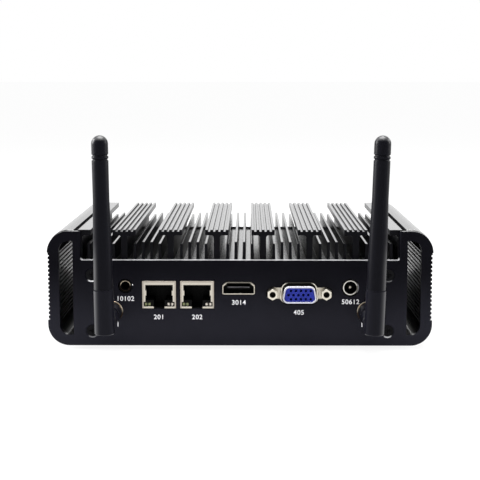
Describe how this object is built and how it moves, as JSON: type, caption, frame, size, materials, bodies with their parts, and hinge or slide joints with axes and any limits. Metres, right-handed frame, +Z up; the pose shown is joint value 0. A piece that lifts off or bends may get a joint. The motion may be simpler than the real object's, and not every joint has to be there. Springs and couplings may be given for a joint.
{
  "type": "fanless industrial pc",
  "caption": "Low fanless computer in a finned black aluminium casing with ribbed side rails, a connector panel and hinged upright antennas.",
  "frame": {"origin": "middle of the four mounting holes, on the outer face of the bottom cover", "axes": "+X along the connector panel, to the right as one faces it; -Y out of the connector panel; +Z up"},
  "size_m": [0.18, 0.1674, 0.102],
  "materials": {
    "rail_black": "satin black anodised extrusion",
    "sink_black": "satin black anodised extrusion, bright at grazing angles",
    "panel_black": "fine bead-blasted black anodised plate",
    "cover_black": "black powder coat",
    "screw_black": "black oxide",
    "screw_steel": "plain zinc plated",
    "rubber_black": "matt rubber",
    "board_green": "solder mask over glass fibre",
    "chip_grey": "moulded package",
    "copper": "milled copper",
    "pad_grey": "soft thermal pad",
    "socket_black": "moulded black plastic",
    "nickel": "nickel plated sheet",
    "gold": "gold plated",
    "contact_gold": "gold plated spring wire",
    "lamp_clear": "translucent lamp",
    "dsub_blue": "moulded blue plastic",
    "antenna_plastic": "moulded black plastic",
    "antenna_rubber": "matt black over-mould",
    "lead_black": "thin coaxial lead",
    "button_steel": "turned stainless steel"
  },
  "bodies": {
    "casing": {"side_rail_left": "rail_black", "side_rail_right": "rail_black", "heat_sink": "sink_black", "connector_panel": "panel_black", "back_panel": "panel_black", "bottom_cover": "cover_black", "connector_panel_screws": "screw_black", "back_panel_screws": "screw_black", "cover_screws": "screw_black", "rubber_feet": "rubber_black", "main_board": "board_green", "board_posts": "screw_steel", "board_screws": "screw_steel", "processor": "chip_grey", "heat_spreader": "copper", "thermal_pad": "pad_grey", "memory_socket": "socket_black", "memory_module": "board_green", "storage_card": "board_green", "radio_card": "board_green", "lan_shield_1": "nickel", "lan_shield_2": "nickel", "lan_insert_1": "socket_black", "lan_insert_2": "socket_black", "lan_contacts": "contact_gold", "lan_lamps": "lamp_clear", "video_shell": "nickel", "video_tongue": "socket_black", "dsub_shell": "nickel", "dsub_insert": "dsub_blue", "dsub_jackscrews": "nickel", "power_inlet": "socket_black", "power_sleeve": "nickel", "power_pin": "nickel", "audio_socket": "socket_black", "audio_ring": "gold", "radio_bulkheads": "gold", "radio_washers": "gold", "radio_nuts": "gold", "usb_shells": "nickel", "usb_tongues": "socket_black", "button_bezel": "button_steel", "button_switch": "socket_black", "status_lights": "lamp_clear", "antenna_coupling_left": "antenna_plastic", "antenna_lead_left": "lead_black", "antenna_coupling_right": "antenna_plastic", "antenna_lead_right": "lead_black"},
    "left_arm": {"antenna_knuckle_left": "antenna_plastic"},
    "left_whip": {"antenna_foot_left": "antenna_plastic", "antenna_sleeve_left": "antenna_rubber", "antenna_hinge_pin_left": "screw_steel"},
    "right_arm": {"antenna_knuckle_right": "antenna_plastic"},
    "right_whip": {"antenna_foot_right": "antenna_plastic", "antenna_sleeve_right": "antenna_rubber", "antenna_hinge_pin_right": "screw_steel"},
    "button": {"start_button": "button_steel"}
  },
  "joints": [
    {"name": "left_swivel", "type": "hinge", "parent": "casing", "child": "left_arm", "pos_m": [-0.05975, -0.075, 0.0162], "axis": [0, 1, 0], "continuous": true},
    {"name": "left_tilt", "type": "hinge", "parent": "left_arm", "child": "left_whip", "pos_m": [-0.05975, -0.096, 0.0162], "axis": [0.9999, 0, 0.0117], "range_deg": [0, 90]},
    {"name": "right_swivel", "type": "hinge", "parent": "casing", "child": "right_arm", "pos_m": [0.05975, -0.075, 0.0162], "axis": [0, 1, 0], "continuous": true},
    {"name": "right_tilt", "type": "hinge", "parent": "right_arm", "child": "right_whip", "pos_m": [0.05975, -0.096, 0.0162], "axis": [0.9995, 0, -0.0305], "range_deg": [0, 90]},
    {"name": "button_press", "type": "slide", "parent": "casing", "child": "button", "axis": [0, -1, 0], "range_m": [0, 0.0008], "stiffness_N_per_m": 800, "springref_m": -0.0006}
  ]
}
